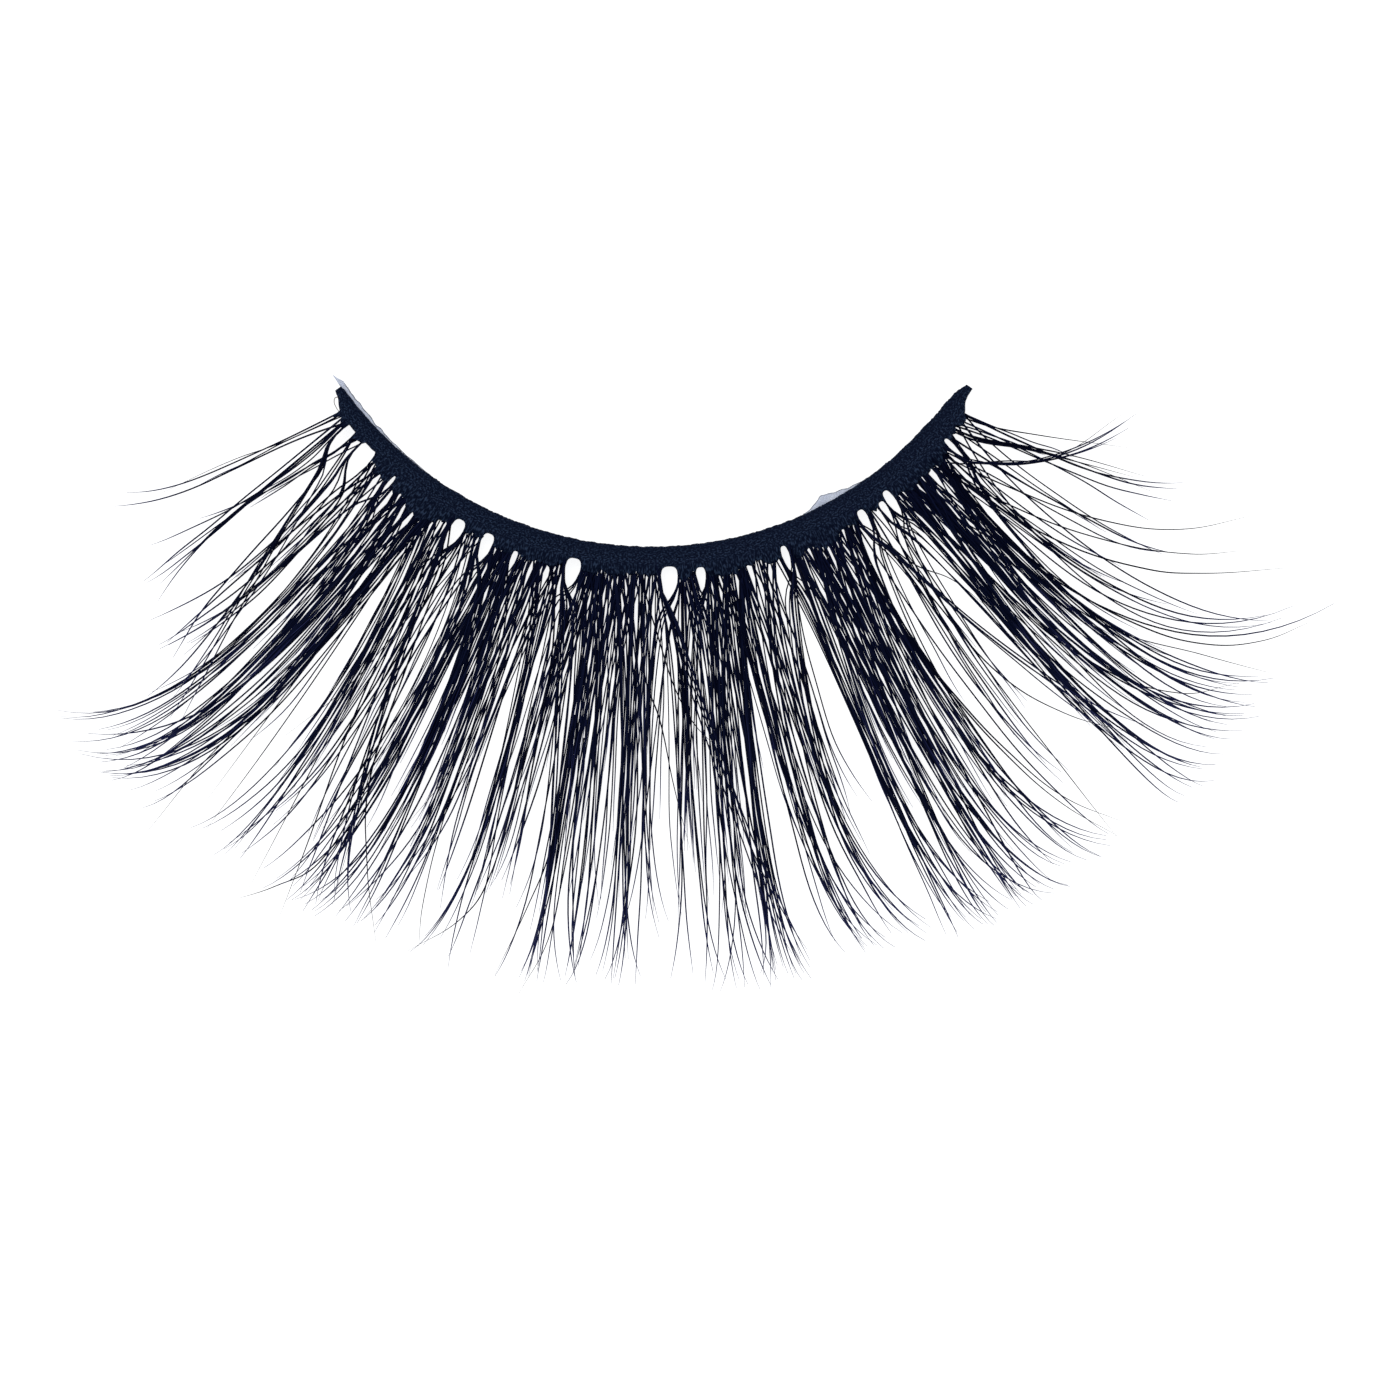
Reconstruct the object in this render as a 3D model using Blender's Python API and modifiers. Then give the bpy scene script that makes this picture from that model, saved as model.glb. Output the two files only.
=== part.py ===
"""False eyelash strip, lying flat on a surface with its lashes curling up.

A short black band, bent to the curve of an eyelid, carries forty-five clusters
of fine black lashes.  Clear glue shows as a film on the band's inner edge at
two places, and as one small drop between two clusters.

Frame: metres, +Z up.  The origin is on the band's underside, in the middle of
its length and width.  The eyelid side is +Y, the lashes run out towards -Y,
and +X is the outer corner, where the lashes are longest.
"""

import math
from collections import namedtuple

import bmesh
import bpy
from mathutils import Vector

MM = 0.001

# Band: a cotton thread stiffened with black glue, bent to an arc.
BAND_RADIUS = 17.9 * MM
BAND_LENGTH = 33.8 * MM
BAND_WIDTH = 0.85 * MM
BAND_HEIGHT = 0.80 * MM
BAND_EDGE = 0.07 * MM
BAND_STEPS = 52

# Lash clusters: a short glued web at the root, which splits into locks.
HAIR_LENGTH = 23.0 * MM
LOCK_THICKNESS = 0.18 * MM
WEB_DEPTH = 1.0 * MM
ROOT_GAP = 0.05 * MM
LAYER_PITCH = 0.25 * MM
LOCK_FILL = 0.78
LOCK_TIP_FILL = 0.12
LOCK_TIP_THICKNESS = 0.35
LOCK_STEPS = 6
RAGGED = 0.09
KNEE = 0.40

# Curl: the lashes leave the band pointing slightly down, touch the surface,
# and turn up more and more towards their tips.
DROOP = math.radians(4.0)
CURL_TURN = math.radians(74.0)
CURL_POWER = 2.4
CURL_SAMPLES = 120

# Clear glue on the band's inner edge, and the drop on its outer edge.
FILM_THICKNESS = 0.16 * MM
FILM_LEFT_WIDTH = 0.42 * MM
FILM_RIGHT_WIDTH = 0.36 * MM
FILM_END_WIDTH = 0.06 * MM
FILM_GAP = 0.05 * MM
FILM_STEPS = 14
DROP_DIAMETER = 0.44 * MM
DROP_TURN = 0.606

HALF_TURN = BAND_LENGTH / BAND_RADIUS / 2

# Turns are shares of the band's half turn, from -1 at its left end to 1 at its
# right end.  Edges are shares of the band's width: 0 inner edge, 1 outer edge.
Station = namedtuple("Station", "turn inner outer")
BAND_STATIONS = [
    Station(-1.012, 0.05, 0.45),
    Station(-0.985, 0.00, 0.62),
    Station(-0.955, 0.00, 1.00),
    Station(0.300, 0.00, 1.00),
    Station(0.660, -0.08, 1.00),
    Station(0.850, -0.18, 1.00),
    Station(0.960, -0.16, 1.00),
    Station(0.985, -0.10, 0.62),
    Station(1.005, 0.02, 0.60),
    Station(1.022, 0.16, 0.58),
]

# One row for each cluster, from left to right.  Its middle and its width are
# given at the root, at the knee and at the tips, as shares of the half turn.
# Reach is a share of the longest lash.  Layer 1 lies over layer 0.
Cluster = namedtuple("Cluster", "root root_width knee knee_width tip tip_width reach locks layer")
CLUSTERS = [
    Cluster(-0.952, 0.019, -0.998, 0.015, -1.048, 0.024, 0.460, 2, 0),
    Cluster(-0.934, 0.016, -0.932, 0.018, -0.933, 0.022, 0.505, 2, 1),
    Cluster(-0.915, 0.015, -0.828, 0.018, -0.767, 0.022, 0.670, 2, 1),
    Cluster(-0.880, 0.022, -0.917, 0.020, -0.985, 0.028, 0.460, 3, 0),
    Cluster(-0.852, 0.017, -0.835, 0.033, -0.856, 0.043, 0.550, 3, 0),
    Cluster(-0.783, 0.037, -0.793, 0.033, -0.819, 0.028, 0.555, 3, 0),
    Cluster(-0.733, 0.037, -0.741, 0.043, -0.842, 0.052, 0.835, 5, 0),
    Cluster(-0.685, 0.044, -0.695, 0.042, -0.787, 0.041, 0.870, 5, 0),
    Cluster(-0.631, 0.048, -0.646, 0.043, -0.727, 0.067, 0.860, 4, 0),
    Cluster(-0.580, 0.041, -0.576, 0.078, -0.625, 0.068, 0.845, 4, 0),
    Cluster(-0.548, 0.015, -0.498, 0.030, -0.437, 0.033, 0.860, 2, 1),
    Cluster(-0.488, 0.035, -0.507, 0.048, -0.537, 0.041, 0.690, 3, 0),
    Cluster(-0.406, 0.033, -0.435, 0.056, -0.481, 0.059, 0.885, 4, 0),
    Cluster(-0.367, 0.031, -0.380, 0.043, -0.424, 0.044, 0.875, 3, 0),
    Cluster(-0.330, 0.033, -0.341, 0.026, -0.374, 0.044, 0.860, 3, 0),
    Cluster(-0.291, 0.031, -0.304, 0.026, -0.331, 0.024, 0.740, 3, 0),
    Cluster(-0.252, 0.033, -0.250, 0.033, -0.294, 0.039, 0.885, 3, 0),
    Cluster(-0.233, 0.013, -0.185, 0.017, -0.165, 0.020, 0.690, 2, 1),
    Cluster(-0.167, 0.030, -0.204, 0.048, -0.226, 0.052, 0.710, 4, 0),
    Cluster(-0.131, 0.033, -0.141, 0.041, -0.143, 0.033, 0.905, 4, 0),
    Cluster(-0.091, 0.037, -0.093, 0.041, -0.100, 0.041, 0.885, 4, 0),
    Cluster(-0.048, 0.035, -0.046, 0.039, -0.050, 0.043, 0.860, 4, 0),
    Cluster(-0.002, 0.044, -0.009, 0.028, -0.007, 0.028, 0.720, 3, 0),
    Cluster(0.015, 0.015, 0.115, 0.022, 0.183, 0.026, 0.860, 2, 1),
    Cluster(0.083, 0.030, 0.065, 0.052, 0.054, 0.061, 0.885, 4, 0),
    Cluster(0.152, 0.030, 0.126, 0.054, 0.124, 0.059, 0.935, 4, 0),
    Cluster(0.189, 0.035, 0.181, 0.041, 0.187, 0.046, 0.900, 3, 0),
    Cluster(0.230, 0.033, 0.230, 0.037, 0.280, 0.067, 0.860, 4, 0),
    Cluster(0.274, 0.043, 0.278, 0.044, 0.352, 0.057, 0.875, 4, 0),
    Cluster(0.320, 0.033, 0.315, 0.017, 0.339, 0.019, 0.530, 2, 0),
    Cluster(0.374, 0.015, 0.309, 0.015, 0.361, 0.024, 0.840, 2, 1),
    Cluster(0.387, 0.037, 0.383, 0.037, 0.435, 0.041, 0.900, 4, 0),
    Cluster(0.428, 0.033, 0.428, 0.037, 0.481, 0.041, 0.955, 4, 0),
    Cluster(0.470, 0.037, 0.472, 0.037, 0.526, 0.037, 0.920, 4, 0),
    Cluster(0.520, 0.050, 0.522, 0.046, 0.600, 0.093, 0.885, 4, 0),
    Cluster(0.559, 0.013, 0.641, 0.015, 0.743, 0.019, 0.690, 2, 1),
    Cluster(0.639, 0.019, 0.611, 0.052, 0.630, 0.044, 0.670, 3, 0),
    Cluster(0.700, 0.056, 0.706, 0.037, 0.787, 0.056, 0.975, 5, 0),
    Cluster(0.757, 0.046, 0.756, 0.046, 0.852, 0.057, 0.865, 4, 0),
    Cluster(0.806, 0.039, 0.804, 0.043, 0.924, 0.070, 0.810, 4, 0),
    Cluster(0.812, 0.010, 0.822, 0.012, 1.093, 0.012, 0.960, 1, 1),
    Cluster(0.846, 0.028, 0.859, 0.052, 1.019, 0.098, 0.745, 4, 0),
    Cluster(0.850, 0.013, 0.915, 0.015, 1.163, 0.028, 0.285, 2, 1),
    Cluster(0.896, 0.043, 0.922, 0.043, 1.009, 0.043, 0.500, 3, 0),
    Cluster(0.942, 0.031, 0.993, 0.037, 1.085, 0.059, 0.420, 3, 0),
]

# Where a film starts and ends, and where between them it is widest.
Film = namedtuple("Film", "name start end widest width")
FILMS = [
    Film("glue_film_left", -1.050, -0.780, 0.12, FILM_LEFT_WIDTH),
    Film("glue_film_right", 0.435, 0.640, 0.30, FILM_RIGHT_WIDTH),
]


def clear_scene():
    """Remove the objects of the opened scene."""
    for thing in list(bpy.data.objects):
        bpy.data.objects.remove(thing, do_unlink=True)


def make_material(name, colour, roughness, transmission=0.0):
    """A Principled material of one colour."""
    material = bpy.data.materials.new(name)
    material.use_nodes = True
    shader = material.node_tree.nodes["Principled BSDF"]
    shader.inputs["Base Color"].default_value = (*colour, 1.0)
    shader.inputs["Roughness"].default_value = roughness
    shader.inputs["Metallic"].default_value = 0.0
    shader.inputs["Transmission Weight"].default_value = transmission
    return material


def curl_at(run):
    """Distance out, height and slope after a run along a lash."""
    out = 0.0
    up = 0.0
    step = run / CURL_SAMPLES
    for index in range(CURL_SAMPLES):
        share = (index + 0.5) * step / HAIR_LENGTH
        slope = (DROOP + CURL_TURN) * share ** CURL_POWER - DROOP
        out += step * math.cos(slope)
        up += step * math.sin(slope)
    slope = (DROOP + CURL_TURN) * (run / HAIR_LENGTH) ** CURL_POWER - DROOP
    return out, up, slope


def root_height():
    """Height of the lash roots that just lets the lowest lashes touch z = 0."""
    touch = HAIR_LENGTH * (DROOP / (DROOP + CURL_TURN)) ** (1 / CURL_POWER)
    lowest = curl_at(touch)[1]
    return LOCK_THICKNESS / 2 - lowest


def on_arc(turn, radius, height):
    """A point at a share of the half turn, about the centre of the band's arc."""
    angle = turn * HALF_TURN
    return Vector((radius * math.sin(angle), BAND_RADIUS - radius * math.cos(angle), height))


def on_lash(turn, run, layer):
    """A point in the curled surface that a layer of lashes lies in."""
    out, up, slope = curl_at(run)
    lift = layer * LAYER_PITCH
    out -= lift * math.sin(slope)
    up += lift * math.cos(slope)
    root_radius = BAND_RADIUS + BAND_WIDTH / 2 + ROOT_GAP
    return on_arc(turn, root_radius + out, root_height() + up)


def through_knee(root, knee, tip, share):
    """The parabola through the values at the root, the knee and the tip."""
    at_root = (share - KNEE) * (share - 1) / KNEE
    at_knee = share * (1 - share) / (KNEE * (1 - KNEE))
    at_tip = share * (share - KNEE) / (1 - KNEE)
    return root * at_root + knee * at_knee + tip * at_tip


def lock_edges(cluster, index, share):
    """Turns of a lock's two edges at a share of its cluster's reach."""
    middle = through_knee(cluster.root, cluster.knee, cluster.tip, share)
    width = through_knee(cluster.root_width, cluster.knee_width, cluster.tip_width, share)
    fill = LOCK_FILL + (LOCK_TIP_FILL - LOCK_FILL) * share ** 2
    pitch = width / cluster.locks
    centre = middle + (index + 0.5) * pitch - width / 2
    return centre - fill * pitch / 2, centre + fill * pitch / 2


def band_edges(turn):
    """The band's inner and outer edge, as shares of its width, at a turn."""
    first = BAND_STATIONS[0]
    if turn <= first.turn:
        return first.inner, first.outer
    for left, right in zip(BAND_STATIONS, BAND_STATIONS[1:]):
        if turn <= right.turn:
            share = (turn - left.turn) / (right.turn - left.turn)
            inner = left.inner + share * (right.inner - left.inner)
            outer = left.outer + share * (right.outer - left.outer)
            return inner, outer
    last = BAND_STATIONS[-1]
    return last.inner, last.outer


def band_radius(edge):
    """Radius about the arc's centre of a share of the band's width."""
    return BAND_RADIUS + (edge - 0.5) * BAND_WIDTH


def add_object(name, surface, material, parent, collection, location):
    """Turn a bmesh, modelled about its location, into an object."""
    mesh = bpy.data.meshes.new(name)
    surface.to_mesh(mesh)
    surface.free()
    mesh.materials.append(material)
    thing = bpy.data.objects.new(name, mesh)
    thing.location = location
    thing.parent = parent
    collection.objects.link(thing)
    return thing


def add_sheet(surface, rows):
    """Join rows of points, of equal length, into an open sheet of quads."""
    verts = [[surface.verts.new(point) for point in row] for row in rows]
    for near, far in zip(verts, verts[1:]):
        for left, right in zip(range(len(near)), range(1, len(near))):
            surface.faces.new((near[left], near[right], far[right], far[left]))
    return verts


def build_band(material, parent, collection):
    """The band: a flat arc-shaped sheet, thickened down to the surface."""
    turns = []
    for index in range(BAND_STEPS + 1):
        first, last = BAND_STATIONS[0].turn, BAND_STATIONS[-1].turn
        turns.append(first + (last - first) * index / BAND_STEPS)
    rows = []
    for turn in turns:
        inner, outer = band_edges(turn)
        rows.append([
            on_arc(turn, band_radius(outer), BAND_HEIGHT),
            on_arc(turn, band_radius(inner), BAND_HEIGHT),
        ])
    surface = bmesh.new()
    add_sheet(surface, rows)
    bmesh.ops.recalc_face_normals(surface, faces=surface.faces)
    band = add_object("band", surface, material, parent, collection, (0, 0, 0))
    solid = band.modifiers.new("Solidify", "SOLIDIFY")
    solid.thickness = BAND_HEIGHT
    solid.offset = -1
    edge = band.modifiers.new("Bevel", "BEVEL")
    edge.width = BAND_EDGE
    edge.segments = 1
    edge.limit_method = "ANGLE"
    edge.angle_limit = math.radians(50)
    return band


def build_cluster(number, cluster, material, parent, collection):
    """One cluster: a web across its roots, and a tapering strip for each lock."""
    reach = cluster.reach * HAIR_LENGTH
    home = on_lash(cluster.root, 0, cluster.layer)
    surface = bmesh.new()
    thickness = surface.verts.layers.deform.verify()

    web_rows = []
    for run in (0, WEB_DEPTH):
        row = []
        for index in range(cluster.locks):
            for turn in lock_edges(cluster, index, run / reach):
                row.append(on_lash(turn, run, cluster.layer) - home)
        web_rows.append(row)
    web = add_sheet(surface, web_rows)
    for vert in surface.verts:
        vert[thickness][0] = 1.0

    for index in range(cluster.locks):
        short = RAGGED * ((2 * index + 3 * number) % 5) / 4
        tip_run = reach * (1 - short)
        near = [web[-1][2 * index], web[-1][2 * index + 1]]
        for step in range(1, LOCK_STEPS + 1):
            share = (step / LOCK_STEPS) ** 0.85
            run = WEB_DEPTH + (tip_run - WEB_DEPTH) * share
            far = []
            for turn in lock_edges(cluster, index, run / reach):
                vert = surface.verts.new(on_lash(turn, run, cluster.layer) - home)
                vert[thickness][0] = 1 - (1 - LOCK_TIP_THICKNESS) * share ** 2
                far.append(vert)
            surface.faces.new((near[0], near[1], far[1], far[0]))
            near = far
    bmesh.ops.recalc_face_normals(surface, faces=surface.faces)

    name = f"lash_cluster_{number:02d}"
    thing = add_object(name, surface, material, parent, collection, home)
    thing.vertex_groups.new(name="thickness")
    solid = thing.modifiers.new("Solidify", "SOLIDIFY")
    solid.thickness = LOCK_THICKNESS
    solid.offset = 0
    solid.vertex_group = "thickness"
    thing.data.shade_smooth()
    thing.data.set_sharp_from_angle(angle=math.radians(40))
    return thing


def film_width(film, share):
    """Width of a film at a share of its length: widest at one place."""
    if share < film.widest:
        swell = share / film.widest
    else:
        swell = (1 - share) / (1 - film.widest)
    return FILM_END_WIDTH + (film.width - FILM_END_WIDTH) * math.sin(swell * math.pi / 2) ** 2


def build_film(film, material, parent, collection):
    """A thin clear film that follows the band's inner edge."""
    height = BAND_HEIGHT / 2
    rows = []
    for index in range(FILM_STEPS + 1):
        share = index / FILM_STEPS
        turn = film.start + (film.end - film.start) * share
        outer = band_radius(band_edges(turn)[0]) - FILM_GAP
        inner = outer - film_width(film, share)
        rows.append([on_arc(turn, outer, height), on_arc(turn, inner, height)])
    surface = bmesh.new()
    add_sheet(surface, rows)
    bmesh.ops.recalc_face_normals(surface, faces=surface.faces)
    thing = add_object(film.name, surface, material, parent, collection, (0, 0, 0))
    solid = thing.modifiers.new("Solidify", "SOLIDIFY")
    solid.thickness = FILM_THICKNESS
    solid.offset = 0
    return thing


def build_drop(material, parent, collection):
    """A small clear drop on the band's outer edge, between two clusters."""
    radius = DROP_DIAMETER / 2
    place = on_arc(DROP_TURN, band_radius(1) + ROOT_GAP + radius, BAND_HEIGHT / 2)
    surface = bmesh.new()
    bmesh.ops.create_uvsphere(surface, u_segments=12, v_segments=8, radius=radius)
    drop = add_object("glue_drop", surface, material, parent, collection, place)
    drop.data.shade_smooth()
    return drop


def main():
    clear_scene()
    collection = bpy.data.collections.new("eyelash_strip")
    bpy.context.scene.collection.children.link(collection)
    strip = bpy.data.objects.new("eyelash_strip_frame", None)
    collection.objects.link(strip)

    cotton = make_material("black_band", (0.008, 0.010, 0.018), 0.62)
    lash = make_material("black_lash_fibre", (0.006, 0.008, 0.016), 0.38)
    glue = make_material("clear_glue", (0.72, 0.76, 0.84), 0.12, transmission=0.85)

    build_band(cotton, strip, collection)
    for number, cluster in enumerate(CLUSTERS, start=1):
        build_cluster(number, cluster, lash, strip, collection)
    for film in FILMS:
        build_film(film, glue, strip, collection)
    build_drop(glue, strip, collection)


main()
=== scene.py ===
# %% [markdown]
# # A false eyelash strip
#
# This strip is a short black band, bent to the curve of an eyelid, with about eight
# hundred fine black fibres glued to its outer edge. It lies on a white surface and is
# seen from straight above, so the fan of fibres is drawn as dark lines on white: the
# curves of the fibres, and the white gaps between their bundles, are what makes it
# look real. The model that the frame loads already has each bundle as a few flat
# locks. Here every bundle is replaced by its single fibres.

import math
from collections import namedtuple
from functools import partial

import bmesh
import bpy
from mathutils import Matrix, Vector, noise


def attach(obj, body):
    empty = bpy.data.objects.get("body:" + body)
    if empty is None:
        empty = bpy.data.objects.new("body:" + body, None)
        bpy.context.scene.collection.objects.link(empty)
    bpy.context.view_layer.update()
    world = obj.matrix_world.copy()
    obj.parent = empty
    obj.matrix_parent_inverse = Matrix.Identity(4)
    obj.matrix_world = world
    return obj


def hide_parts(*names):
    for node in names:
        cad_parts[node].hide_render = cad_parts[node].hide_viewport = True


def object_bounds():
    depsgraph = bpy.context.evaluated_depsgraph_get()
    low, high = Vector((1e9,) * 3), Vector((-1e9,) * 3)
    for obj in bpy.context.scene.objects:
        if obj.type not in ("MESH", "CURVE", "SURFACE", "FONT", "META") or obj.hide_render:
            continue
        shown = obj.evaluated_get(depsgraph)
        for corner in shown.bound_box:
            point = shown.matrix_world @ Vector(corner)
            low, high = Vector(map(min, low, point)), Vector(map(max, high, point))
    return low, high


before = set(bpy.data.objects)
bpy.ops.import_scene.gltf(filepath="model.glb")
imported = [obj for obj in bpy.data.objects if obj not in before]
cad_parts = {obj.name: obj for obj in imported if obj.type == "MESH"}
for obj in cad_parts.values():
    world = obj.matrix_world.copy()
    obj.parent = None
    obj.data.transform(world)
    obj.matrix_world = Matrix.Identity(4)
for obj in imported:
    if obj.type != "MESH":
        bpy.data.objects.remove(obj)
cad_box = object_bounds()
scene = bpy.context.scene
print("solids of the frame:", len(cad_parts))
print("its box:", [[round(v, 5) for v in corner] for corner in cad_box])

# %% [markdown]
# ## One camera, straight above
#
# The photograph has no perspective to speak of. A wide camera close to the strip
# would make the raised tips spread outwards, so the camera stands far back with a
# long lens. Its height and lens together frame a square of `VIEW_WIDTH`. The view's
# centre lies below the band, because the band sits in the upper half of the picture.

# %% Camera
MM = 0.001
VIEW_WIDTH = 64.5 * MM
VIEW_CENTRE = Vector((2.21 * MM, -6.65 * MM, 0))
CAMERA_HEIGHT = 600 * MM
SENSOR = 36.0

camera_data = bpy.data.cameras.new("camera")
camera_data.sensor_width = SENSOR
camera_data.lens = SENSOR * CAMERA_HEIGHT / VIEW_WIDTH
camera_data.clip_start = 0.01
camera_data.clip_end = 5.0
camera = bpy.data.objects.new("camera", camera_data)
camera.location = VIEW_CENTRE + Vector((0, 0, CAMERA_HEIGHT))
scene.collection.objects.link(camera)
bpy.context.scene.camera = camera
print("lens in mm:", round(camera_data.lens, 1))

# %% [markdown]
# ## White surface, even light
#
# The background of the photograph is plain white, with no shadow to see, as when
# lashes lie on a light box. So the surface glows a little by itself, and an even sky
# adds the rest. The two together are only just white: a brighter surface would drown
# the fibres, which are thinner than a pixel at their tips. One large soft lamp from the
# upper left adds some direction, so that the glue and the fibres get a soft highlight.
# The Standard view keeps white white and black black, where a film-like view would
# turn both grey.

# %% Floor and light
FLOOR_SIZE = 1.2
LAMP_SIZE = 0.5
LAMP_PLACE = Vector((-0.45, 0.35, 0.7))
LAMP_POWER = 1.5
SKY_STRENGTH = 0.62
BOX_GLOW = 0.86
SURFACE_TONE = (0.55, 0.55, 0.555, 1)
GLOW_TONE = (0.99, 0.995, 1.0, 1)
SKY_TONE = (0.98, 0.99, 1.0, 1)

scene.view_settings.view_transform = "Standard"
scene.view_settings.look = "None"


def principled(name, **values):
    """A new material, with plain values set on its Principled shader."""
    material = bpy.data.materials.new(name)
    material.use_nodes = True
    shader = material.node_tree.nodes["Principled BSDF"]
    for key, value in values.items():
        shader.inputs[key.replace("_", " ")].default_value = value
    return material, material.node_tree, shader


floor_material = principled(
    "white_surface", Base_Color=SURFACE_TONE, Roughness=0.9, Specular_IOR_Level=0.1,
    Emission_Color=GLOW_TONE, Emission_Strength=BOX_GLOW,
)[0]

bpy.ops.mesh.primitive_plane_add(size=FLOOR_SIZE, location=(0, 0, 0))
floor = bpy.context.object
floor.name = "floor"
floor.data.materials.append(floor_material)

world = bpy.data.worlds.new("studio")
scene.world = world
world.use_nodes = True
background = world.node_tree.nodes["Background"]
background.inputs["Color"].default_value = SKY_TONE
background.inputs["Strength"].default_value = SKY_STRENGTH

lamp_data = bpy.data.lights.new("soft_lamp", "AREA")
lamp_data.size = LAMP_SIZE
lamp_data.energy = LAMP_POWER
lamp = bpy.data.objects.new("soft_lamp", lamp_data)
lamp.location = LAMP_PLACE
lamp.rotation_euler = (-LAMP_PLACE).to_track_quat("-Z", "Y").to_euler()
scene.collection.objects.link(lamp)
print("floor, sky and one lamp")

# %% [markdown]
# ## The space that everything is placed in
#
# The band is an arc, so places on it are easiest to give as a *turn* about the arc's
# centre and a distance out from it. A turn of -1 is the left end of the band, 0 its
# middle and 1 its right end. The sizes below are those of the real strip.

# %% Sizes of the strip
BAND_RADIUS = 17.9 * MM
BAND_LENGTH = 33.8 * MM
BAND_WIDTH = 0.85 * MM
BAND_HEIGHT = 0.80 * MM
HALF_TURN = BAND_LENGTH / BAND_RADIUS / 2
OUTER_EDGE = BAND_RADIUS + BAND_WIDTH / 2

HAIR_LENGTH = 23.0 * MM
LOCK_THICKNESS = 0.18 * MM
LAYER_PITCH = 0.25 * MM
DROOP = math.radians(4.0)
CURL_TURN = math.radians(74.0)
CURL_POWER = 2.4
KNEE = 0.40


def on_arc(turn, radius, height):
    """A point at a turn and a distance from the centre of the band's arc."""
    angle = turn * HALF_TURN
    return Vector((radius * math.sin(angle), BAND_RADIUS - radius * math.cos(angle), height))


print("half turn in degrees:", round(math.degrees(HALF_TURN), 1))

# %% [markdown]
# A fibre leaves the band pointing slightly down, touches the surface a few
# millimetres out and then turns up more and more, as lashes wound on a rod do. The
# height of the root follows from that: it is what lets the lowest fibres just touch
# the surface. `curl_drop` adds up small steps along a fibre to find it.

# %% Height of the roots
def curl_slope(share):
    """The angle upwards of a fibre at a share of the full length."""
    return (DROOP + CURL_TURN) * share ** CURL_POWER - DROOP


def curl_drop():
    """How far a fibre falls from its root to where it touches the surface."""
    steps = 200
    touch = HAIR_LENGTH * (DROOP / (DROOP + CURL_TURN)) ** (1 / CURL_POWER)
    fall = 0.0
    for index in range(steps):
        share = (index + 0.5) / steps * touch / HAIR_LENGTH
        fall -= touch / steps * math.sin(curl_slope(share))
    return fall


ROOT_HEIGHT = LOCK_THICKNESS / 2 + curl_drop()
print("roots at mm:", round(ROOT_HEIGHT / MM, 3))

# %% [markdown]
# ## Building with nodes
#
# The materials and the fibres are both made of nodes. These helpers shorten the calls
# that add them: a value is a socket to link, a node or a plain number.

# %% Node helpers
def live(sockets):
    """The sockets that are in use with a node's present settings."""
    return [socket for socket in sockets if socket.enabled]


def put(nodes, socket, value):
    """Link a socket or a node's first live output, or set a number."""
    if isinstance(value, bpy.types.Node):
        value = live(value.outputs)[0]
    if isinstance(value, bpy.types.NodeSocket):
        nodes.links.new(value, socket)
    else:
        socket.default_value = value


def add_node(nodes, kind, values=None, **settings):
    """Add a node, with its settings and its inputs by name."""
    node = nodes.nodes.new(kind)
    for key, value in settings.items():
        setattr(node, key, value)
    for key, value in (values or {}).items():
        named = [socket for socket in live(node.inputs) if socket.name == key]
        put(nodes, named[0], value)
    return node


def add_math(nodes, operation, first, second=None):
    """One sum on sockets, nodes or numbers."""
    node = add_node(nodes, "ShaderNodeMath", operation=operation)
    put(nodes, node.inputs[0], first)
    if second is not None:
        put(nodes, node.inputs[1], second)
    return node.outputs[0]


print("node helpers ready")

# %% [markdown]
# The materials share a few steps: a colour ramp, noise, a change of range, a bump and
# an uneven roughness.

# %% Steps of a material
def ramp(nodes, source, low, high):
    """A colour ramp between two colours, driven by a socket."""
    node = add_node(nodes, "ShaderNodeValToRGB", {"Fac": source})
    node.color_ramp.elements[0].color = (*low, 1)
    node.color_ramp.elements[1].color = (*high, 1)
    return node.outputs["Color"]


def noise_on_object(nodes, scale, detail):
    """Noise that stays on the piece, from its Object coordinates."""
    place = add_node(nodes, "ShaderNodeTexCoord").outputs["Object"]
    values = {"Vector": place, "Scale": scale, "Detail": detail}
    return add_node(nodes, "ShaderNodeTexNoise", values).outputs["Fac"]


def shader_range(nodes, source, low, high, to_low=0.0, to_high=1.0):
    """Move a range of values to another one."""
    node = add_node(nodes, "ShaderNodeMapRange", {
        "Value": source, "From Min": low, "From Max": high, "To Min": to_low, "To Max": to_high,
    })
    return node.outputs["Result"]


def attach_bump(nodes, shader, source, strength, distance):
    """Drive the shader's normal with a bump."""
    values = {"Height": source, "Strength": strength, "Distance": distance}
    put(nodes, shader.inputs["Normal"], add_node(nodes, "ShaderNodeBump", values))


def spread_roughness(nodes, shader, source, low, high):
    """Let a texture move the roughness between two values."""
    put(nodes, shader.inputs["Roughness"], shader_range(nodes, source, 0.0, 1.0, low, high))


print("material steps ready")

# %% [markdown]
# ## Black fibre
#
# The fibres are a shiny plastic, nearly black with a trace of blue. They are so thin
# that they hardly show a colour of their own, but a bundle does: so each fibre gets a
# slightly different tone, from the number `tone` that its geometry carries. `along`
# runs from 0 at the root to 1 at the tip and makes the tips a little paler and bluer.
# That is painted light: it stands in for the light of the white surface, which blurs
# over the thin tips. Fine lengthwise noise roughens it.

# %% Fibre material
FIBRE_DARK = (0.0006, 0.0018, 0.0120)
FIBRE_LIGHT = (0.0045, 0.0075, 0.0320)
# Painted light: the paler, bluer tip colour stands in for the white surface's light blurring over
# the thin tips.
TIP_PAINTED_LIGHT = (0.030, 0.036, 0.130)
PAINTED_LIGHT_FROM = 0.70

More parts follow.
